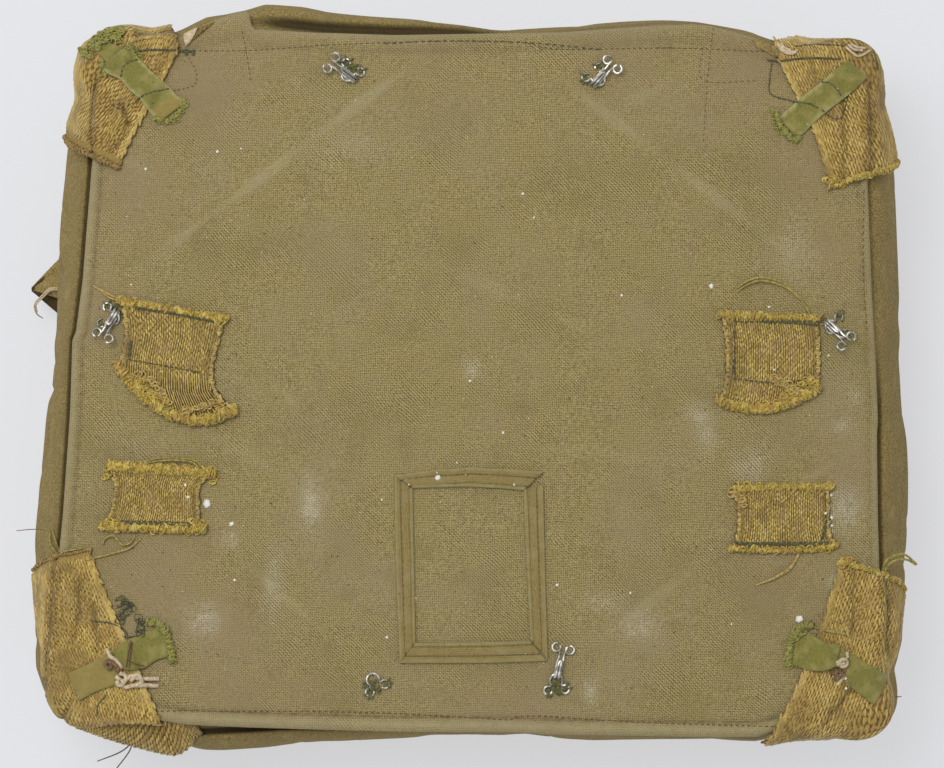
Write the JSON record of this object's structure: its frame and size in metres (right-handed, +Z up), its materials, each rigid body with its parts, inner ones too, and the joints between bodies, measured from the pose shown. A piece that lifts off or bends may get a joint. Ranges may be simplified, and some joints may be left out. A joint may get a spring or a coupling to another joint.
{
  "type": "packed parachute",
  "caption": "Filled square canvas parachute pack lying back face up, with webbing corner straps, keeper tapes, cut harness stubs, a card frame, and wire hooks and eyes.",
  "frame": {"origin": "middle of the flat face that the pack rests on, midway between its walls; the flap corner on the left wall is not counted", "axes": "+X towards the pack's right with its back face seen from above, +Y towards its far hem, +Z up out of the back face"},
  "size_m": [0.4246, 0.35, 0.1133],
  "materials": {
    "wall_canvas": "worn cotton duck, tan olive, matt",
    "back_canvas": "worn cotton duck, khaki olive, matt",
    "webbing": "golden tan cotton webbing, matt",
    "green_tape": "olive green cotton tape, matt",
    "binding": "olive cotton tape, matt",
    "wire": "nickel-plated wire, dulled"
  },
  "bodies": {
    "root": {"pack_body": "wall_canvas", "back_panel": "back_canvas", "flap_corner": "wall_canvas", "corner_strap_far_left": "webbing", "corner_strap_far_right": "webbing", "corner_strap_near_left": "webbing", "corner_strap_near_right": "webbing", "keeper_tape_far_left": "green_tape", "keeper_tape_far_right": "green_tape", "keeper_tape_near_left": "green_tape", "keeper_tape_near_right": "green_tape", "harness_stub_left_far": "webbing", "harness_stub_left_near": "webbing", "harness_stub_right_far": "webbing", "harness_stub_right_near": "webbing", "card_frame": "binding", "eye_far_left": "wire", "eye_far_right": "wire", "eye_left": "wire", "eye_right": "wire", "eye_near_middle": "wire", "eye_near_left": "wire", "hook_far_left": "wire", "hook_far_right": "wire", "hook_left": "wire", "hook_right": "wire", "hook_near_middle": "wire"}
  },
  "joints": []
}
